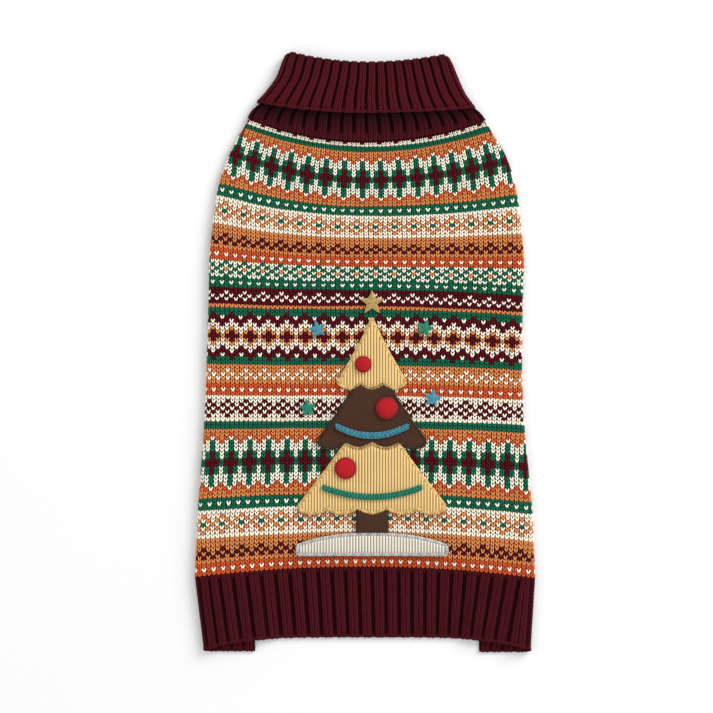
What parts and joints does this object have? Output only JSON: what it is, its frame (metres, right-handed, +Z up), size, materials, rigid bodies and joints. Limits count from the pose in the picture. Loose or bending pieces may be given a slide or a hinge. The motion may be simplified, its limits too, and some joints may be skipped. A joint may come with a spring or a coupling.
{
  "type": "dog sweater",
  "caption": "Knitted dog sweater laid flat, back up, with a turned-down rib collar, a rib hem, front-leg openings underneath and a fir tree applique.",
  "frame": {"origin": "on the surface that the sweater lies on, under the middle of its outline", "axes": "+Z up, away from the surface; +Y from hem to collar; +X to the right seen from above"},
  "size_m": [0.2732, 0.4802, 0.0113],
  "materials": {
    "patterned_knit": "two-colour stranded knit in cream, green, ochre, orange and maroon",
    "rib_knit": "maroon 2 by 2 rib knit",
    "tan_corduroy": "fine tan corduroy with satin-stitched edges",
    "cream_corduroy": "cream corduroy with a silver satin-stitched edge",
    "brown_plush": "short dark brown plush",
    "red_felt": "padded red felt",
    "blue_thread": "blue satin stitch",
    "green_thread": "green satin stitch",
    "gold_thread": "gold satin stitch"
  },
  "bodies": {
    "root": {"back_panel": "patterned_knit", "belly_panel": "patterned_knit", "belly_band": "rib_knit", "leg_band_left": "rib_knit", "leg_band_right": "rib_knit", "hem_band": "rib_knit", "collar": "rib_knit", "tree_top_tier": "tan_corduroy", "tree_middle_tier": "brown_plush", "tree_bottom_tier": "tan_corduroy", "tree_trunk": "brown_plush", "snow_mound": "cream_corduroy", "garland_blue": "blue_thread", "garland_green": "green_thread", "bauble_top": "red_felt", "bauble_middle": "red_felt", "bauble_bottom": "red_felt", "star_gold": "gold_thread", "star_blue_upper": "blue_thread", "star_blue_lower": "blue_thread", "star_green_upper": "green_thread", "star_green_lower": "green_thread"}
  },
  "joints": []
}
